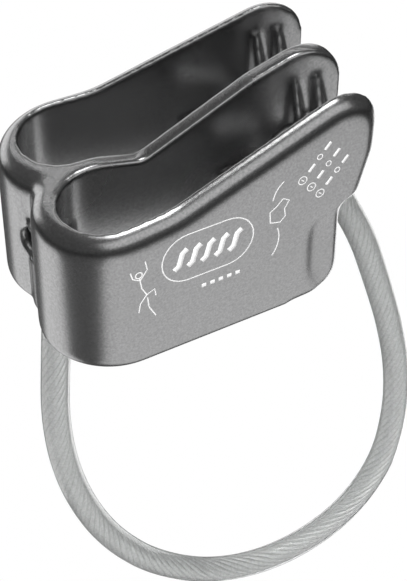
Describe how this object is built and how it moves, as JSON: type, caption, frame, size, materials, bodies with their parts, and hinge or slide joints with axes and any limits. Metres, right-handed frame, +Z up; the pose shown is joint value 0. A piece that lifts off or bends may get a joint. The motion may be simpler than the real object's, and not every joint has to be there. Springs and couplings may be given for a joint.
{
  "type": "belay device",
  "caption": "Belay device: tapered block with side-by-side rope slots, winged and ribbed brake grooves, and a plastic-coated wire keeper loop.",
  "frame": {"origin": "middle of the flat underside of the brake body, between the rope slots", "axes": "+X along the slots towards the ribbed wings, +Z up out of the slots, +Y across the slots; the keeper loop hangs below"},
  "size_m": [0.0723, 0.0372, 0.1239],
  "materials": {
    "anodised_body": "satin anodised, fine grain",
    "wire": "bright twisted strands",
    "stop": "crimped, plain",
    "sheath": "clear, smooth"
  },
  "bodies": {
    "brake": {"brake_body": "anodised_body", "left_core_root": "wire", "left_sheath_root": "sheath", "left_end_stop": "stop", "right_core_root": "wire", "right_sheath_root": "sheath", "right_end_stop": "stop"},
    "keeper_loop": {"loop_core": "wire", "loop_sheath": "sheath"}
  },
  "joints": [
    {"name": "loop_swing", "type": "hinge", "parent": "brake", "child": "keeper_loop", "pos_m": [0.00129, 0, 0.00611], "axis": [0.9544, 0, 0.2984], "range_deg": [-30, 30], "stiffness_Nm_per_rad": 0.35}
  ]
}
